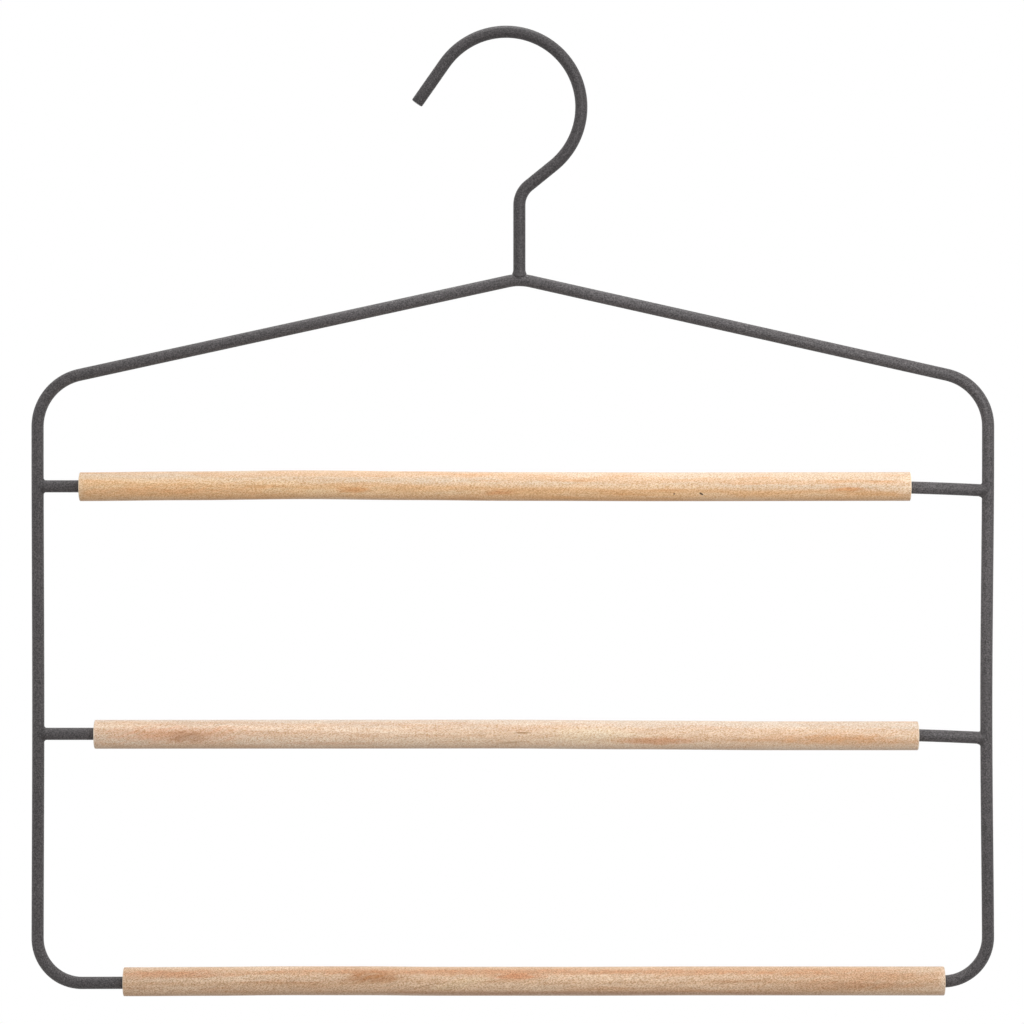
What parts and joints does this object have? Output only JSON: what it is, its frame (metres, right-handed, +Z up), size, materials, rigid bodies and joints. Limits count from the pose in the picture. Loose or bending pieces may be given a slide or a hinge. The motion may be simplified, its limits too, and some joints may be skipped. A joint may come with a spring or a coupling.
{
  "type": "tiered trouser hanger",
  "caption": "Tiered trouser hanger: a bent steel wire frame with a welded hook, and loose wooden rollers on its crossbars and bottom run for hanging trousers one above another.",
  "frame": {"origin": "hook seat: the inside top of the hook's round, where it rests on a rail", "axes": "+X to the right seen from the front, +Y to the back along the rail, +Z up"},
  "size_m": [0.3992, 0.012, 0.4023],
  "materials": {
    "coated_wire": "fine-texture matt powder coat, charcoal",
    "coated_weld": "fine-texture matt powder coat over a weld bead, charcoal",
    "upper_wood": "sanded pale dowel, unvarnished, warm",
    "middle_wood": "sanded pale dowel, unvarnished, pinkish",
    "bottom_wood": "sanded pale dowel, unvarnished, tan"
  },
  "bodies": {
    "frame": {"frame_wire": "coated_wire", "hook": "coated_wire", "upper_crossbar": "coated_wire", "middle_crossbar": "coated_wire", "hook_weld": "coated_weld", "upper_left_weld": "coated_weld", "upper_right_weld": "coated_weld", "middle_left_weld": "coated_weld", "middle_right_weld": "coated_weld", "seam_weld": "coated_weld"},
    "upper_roller": {"upper_roller": "upper_wood"},
    "middle_roller": {"middle_roller": "middle_wood"},
    "bottom_roller": {"bottom_roller": "bottom_wood"}
  },
  "joints": [
    {"name": "upper_roller_turn", "type": "hinge", "parent": "frame", "child": "upper_roller", "pos_m": [0, 0, -0.186], "axis": [1, 0, 0], "continuous": true},
    {"name": "middle_roller_turn", "type": "hinge", "parent": "frame", "child": "middle_roller", "pos_m": [0, 0, -0.2886], "axis": [1, 0, 0], "continuous": true},
    {"name": "bottom_roller_turn", "type": "hinge", "parent": "frame", "child": "bottom_roller", "pos_m": [0, 0, -0.3912], "axis": [1, 0, 0], "continuous": true}
  ]
}
